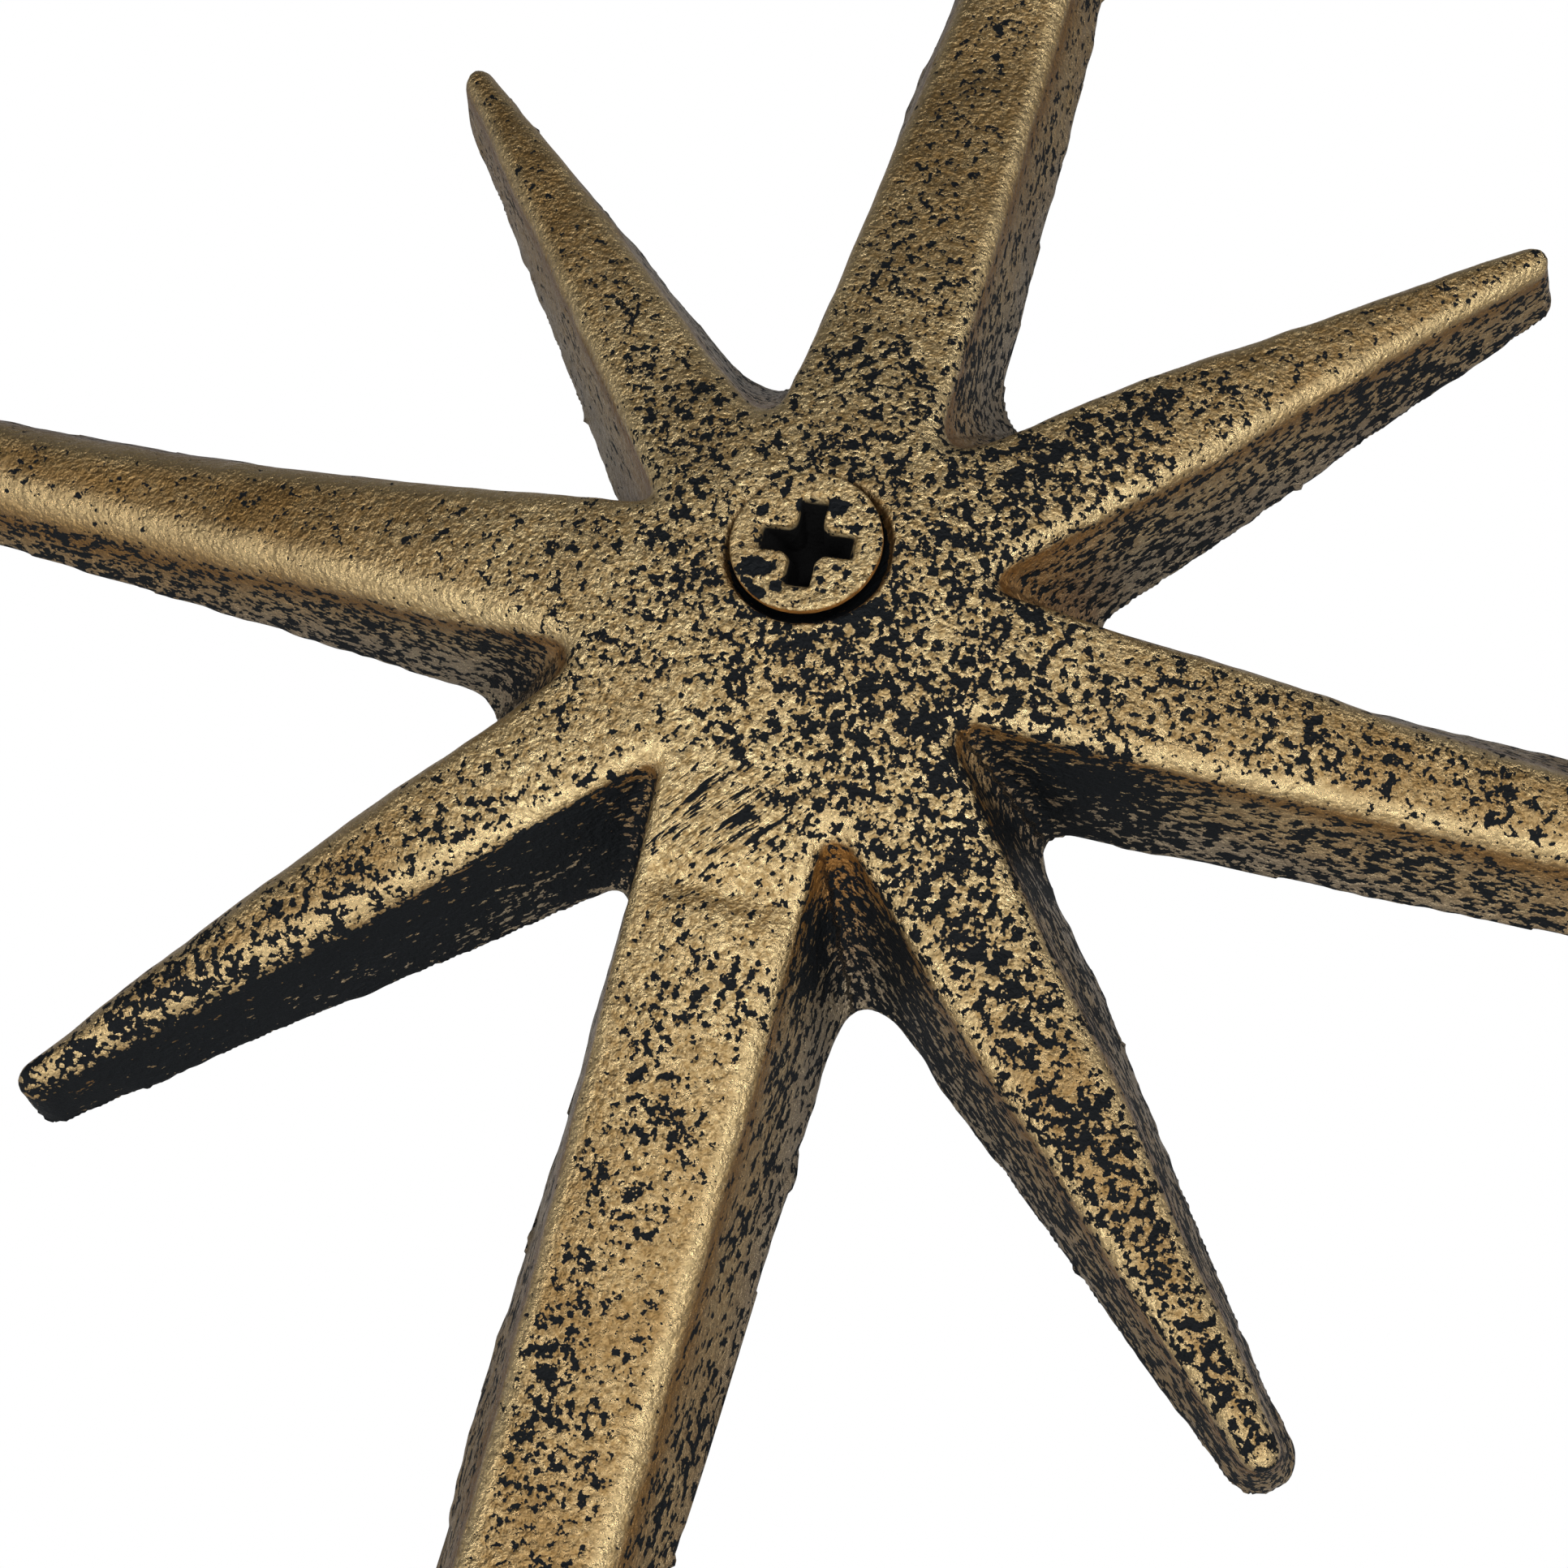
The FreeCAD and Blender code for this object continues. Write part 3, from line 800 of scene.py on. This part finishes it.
def antique_gold(name, shift, screw=False):
    """Black base coat with gold dry-brushed over the high spots of a rough casting, with painted
    shade, reflections and highlights in its colour.
    """
    m = Paint(name)
    n = m.tree.nodes.new("ShaderNodeVectorMath")
    m.put(n.inputs[0], m.coords())
    n.inputs[1].default_value = (shift, shift * 0.7, -shift)
    here = n.outputs[0]
    place = m.attribute("ray_place", vector=True)
    level = m.attribute("bare_level")
    wall = m.attribute("on_wall")
    dark_reflection_band = m.attribute("dark_reflection_band")
    edge_wear_and_highlight = m.attribute("edge_wear_and_highlight")
    drawn = m.scaled(place, (0.42, 1.0, 0.9))
    stroke = m.tree.nodes.new("ShaderNodeVectorRotate")
    m.put(stroke.inputs["Vector"], here)
    stroke.rotation_type = "Y_AXIS"
    stroke.inputs["Angle"].default_value = BRUSH_TURN
    stroke = m.scaled(stroke.outputs[0], (0.16, 1.0, 1.7))
    pit = m.blend(wall, pits(m, here, 1.0), pits(m, drawn, 1.8))
    pit = m.blend(m.attribute("brushed"), pit, pits(m, stroke, 1.2))
    bare = m.ramp(m.math("SUBTRACT", pit, level), -0.005, 0.006)
    # gold: light and deep flecks, a painted dark reflection (amber) just under the edges, duller on
    # the side walls
    fleck = m.ramp(m.noise(here, 2600.0, 4.0, 0.7), 0.40, 0.62)
    cloud = m.ramp(m.noise(here, 210.0, 3.0, 0.6), 0.35, 0.65)
    gold = m.mix(fleck, GOLD_MID, GOLD_LIGHT)
    # deeper gold: random clouds of tone, plus painted shade towards the tips and to the left
    deep = m.math("ADD", m.math("MULTIPLY", cloud, 0.35), m.attribute("deep_tone_and_shade"))
    gold = m.mix(deep, gold, GOLD_DEEP)
    gold = m.mix(m.math("MULTIPLY", wall, 0.62), gold, DULL)
    umber = m.ramp(m.noise(m.scaled(here, (1.0, 1.0, 1.6)), 2300.0, 3.0, 0.65), 0.53, 0.64)
    umber = m.math("MULTIPLY", umber, m.math("SUBTRACT", 0.42, m.math("MULTIPLY", edge_wear_and_highlight, 0.30)))
    gold = m.mix(umber, gold, UMBER)
    # lower side walls: thin gold and a painted pale reflection
    gold = m.mix(m.math("MULTIPLY", m.attribute("low"), 0.5), gold, THIN_GOLD_AND_PALE_SHEEN)
    # painted dark reflection: amber just under the face edges and on the hole's lip
    gold = m.mix(m.math("MULTIPLY", dark_reflection_band, 0.85), gold, DARK_REFLECTION_AMBER)
    # painted shade: copper in the notches next to the hub
    gold = m.mix(m.math("MULTIPLY", m.attribute("copper_shade"), 0.8), gold, NOTCH_SHADE_COPPER)
    # painted highlight: lighter gold along the worn face edges
    gold = m.mix(m.math("MULTIPLY", edge_wear_and_highlight, 0.55), gold, GOLD_LIGHT)
    colour = m.mix(bare, gold, BLACK)
    metal = m.math("SUBTRACT", 0.90, m.math("MULTIPLY", wall, 0.25))
    metal = m.math("MULTIPLY", metal, m.math("SUBTRACT", 1.0, bare))
    rough = m.ramp(fleck, 0.0, 1.0, 0.38, 0.24)
    rough = m.math("SUBTRACT", rough, m.math("MULTIPLY", edge_wear_and_highlight, 0.05))
    rough = m.blend(bare, rough, 0.55)
    if screw:
        painted = m.attribute("painted")
        recess = m.attribute("in_recess")
        # painted shade on the head's side in the gap
        colour = m.mix(m.attribute("copper_shade"), colour, HEAD_SIDE_SHADE)
        colour = m.mix(painted, ZINC, colour)
        # painted shade in the cross recess: darker than the black paint, matte and not metal
        colour = m.mix(recess, colour, RECESS_SHADE_BLACK)
        metal = m.math("MULTIPLY", metal, m.math("SUBTRACT", 1.0, m.attribute("copper_shade")))
        metal = m.blend(painted, 1.0, metal)
        metal = m.math("MULTIPLY", metal, m.math("SUBTRACT", 1.0, recess))
        rough = m.blend(painted, 0.3, rough)
        rough = m.blend(recess, rough, 0.9)
    m.put(m.shader.inputs["Base Color"], colour)
    m.put(m.shader.inputs["Metallic"], metal)
    m.put(m.shader.inputs["Roughness"], rough)
    m.shader.inputs["Specular IOR Level"].default_value = 0.1
    tooth = m.noise(here, 2900.0, 4.0, 0.65)
    height = m.math("ADD", m.math("MULTIPLY", pit, -0.45), m.math("MULTIPLY", tooth, 0.36))
    m.bump(height, 0.8, 0.0008)
    return m.material


def grey_nylon():
    m = Paint("grey_nylon")
    here = m.coords()
    mottle = m.noise(here, 260.0, 4.0, 0.6)
    m.put(m.shader.inputs["Base Color"], m.mix(mottle, NYLON_DARK, NYLON_LIGHT))
    m.put(m.shader.inputs["Roughness"], m.ramp(m.noise(here, 900.0, 3.0, 0.6), 0.3, 0.7, 0.42, 0.6))
    m.shader.inputs["Subsurface Weight"].default_value = 0.15
    m.shader.inputs["Subsurface Scale"].default_value = 0.002
    m.bump(m.noise(here, 1400.0, 4.0, 0.6), 0.25, 0.0002)
    return m.material


# ---- pieces -----------------------------------------------------------------------------
star = build_star()
star.data.materials.append(antique_gold("antique_gold", 0.0))
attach(star, "star")
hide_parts("starburst_casting")

screw = build_screw()
screw.data.materials.append(antique_gold("painted_screw_head", 0.37, screw=True))
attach(screw, "screw")
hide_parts("mounting_screw")

plug = build_plug()
plug.data.materials.append(grey_nylon())
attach(plug, "anchor")
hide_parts("wall_plug")

# ---- camera and light ---------------------------------------------------------------------
CAMERA_AT = (0.0300, -0.1139, -0.0485)
CAMERA_RIGHT = (0.9437, 0.1448, 0.2974)
CAMERA_UP = (-0.2286, -0.3642, 0.9028)
CAMERA_FORWARD = (-0.2390, 0.9200, 0.3106)
FLOOR_Z = -0.70
# lamps: name, direction from the star, distance, side, watts
LAMPS = [
    ("key", (0.10, -0.84, -0.54), 0.50, 0.20, 1.1),
    ("front", (0.38, -0.90, 0.22), 0.60, 0.20, 1.0),
    ("left", (-0.66, -0.66, -0.36), 0.55, 0.16, 0.42),
    ("right", (0.86, -0.46, 0.14), 0.55, 0.14, 0.75),
    ("low", (0.05, -0.45, -0.89), 0.50, 0.10, 0.35),
]
# how bright the surroundings are: place from in front of the star (0) to behind it (1), level
ROOM_LIGHT = [(0.0, 0.07), (0.2, 0.06), (0.42, 0.03), (0.55, 0.08), (0.75, 0.32), (1.0, 0.50)]


def add_camera():
    data = bpy.data.cameras.new("camera")
    data.lens = 51.2
    data.sensor_width = 36.0
    data.clip_start = 0.01
    camera = add_object("camera", data)
    axes = Matrix((CAMERA_RIGHT, CAMERA_UP, [-v for v in CAMERA_FORWARD])).transposed()
    camera.matrix_world = Matrix.Translation(CAMERA_AT) @ axes.to_4x4()
    bpy.context.scene.camera = camera


def add_lamp(name, toward, distance, size, watts):
    """Soft square lamp that stands off the star in direction toward and faces it."""
    data = bpy.data.lights.new(name, "AREA")
    data.shape = "SQUARE"
    data.size = size
    data.energy = watts
    lamp = add_object(name, data)
    direction = Vector(toward).normalized()
    lamp.location = direction * distance
    lamp.rotation_mode = "QUATERNION"
    lamp.rotation_quaternion = direction.to_track_quat("Z", "Y")


def add_room():
    """White surroundings, dim along the wall's own plane, brighter behind and in front."""
    world = bpy.data.worlds.new("studio")
    bpy.context.scene.world = world
    world.use_nodes = True
    tree = world.node_tree
    background = tree.nodes["Background"]
    coords = tree.nodes.new("ShaderNodeTexCoord")
    split = tree.nodes.new("ShaderNodeSeparateXYZ")
    tree.links.new(coords.outputs["Generated"], split.inputs[0])
    place = tree.nodes.new("ShaderNodeMapRange")
    place.inputs["From Min"].default_value = -1.0
    place.inputs["From Max"].default_value = 1.0
    tree.links.new(split.outputs["Y"], place.inputs["Value"])
    ramp = tree.nodes.new("ShaderNodeValToRGB")
    tree.links.new(place.outputs["Result"], ramp.inputs["Fac"])
    while len(ramp.color_ramp.elements) < len(ROOM_LIGHT):
        ramp.color_ramp.elements.new(0.5)
    for element, (at, level) in zip(ramp.color_ramp.elements, ROOM_LIGHT):
        element.position = at
        element.color = (level, level, level * 1.02, 1)
    seen = tree.nodes.new("ShaderNodeLightPath")
    pick = tree.nodes.new("ShaderNodeMix")
    pick.data_type = "RGBA"
    tree.links.new(seen.outputs["Is Camera Ray"], pick.inputs[0])
    tree.links.new(ramp.outputs["Color"], pick.inputs[MIX_COLOUR_A])
    pick.inputs[MIX_COLOUR_B].default_value = (1, 1, 1, 1)
    tree.links.new(pick.outputs[MIX_COLOUR_OUT], background.inputs["Color"])
    background.inputs["Strength"].default_value = 1.0


def add_floor():
    mesh = bpy.data.meshes.new("floor")
    corners = [(-3, -3, FLOOR_Z), (3, -3, FLOOR_Z), (3, 3, FLOOR_Z), (-3, 3, FLOOR_Z)]
    mesh.from_pydata(corners, [], [(0, 1, 2, 3)])
    floor = add_object("floor", mesh)
    pale = Paint("pale_floor")
    pale.shader.inputs["Base Color"].default_value = (0.82, 0.82, 0.81, 1)
    pale.shader.inputs["Roughness"].default_value = 0.7
    pale.shader.inputs["Emission Color"].default_value = (1.0, 1.0, 0.99, 1)
    pale.shader.inputs["Emission Strength"].default_value = 0.22
    floor.data.materials.append(pale.material)


add_camera()
add_room()
add_floor()
for lamp in LAMPS:
    add_lamp(*lamp)
bpy.context.scene.view_settings.view_transform = "Standard"
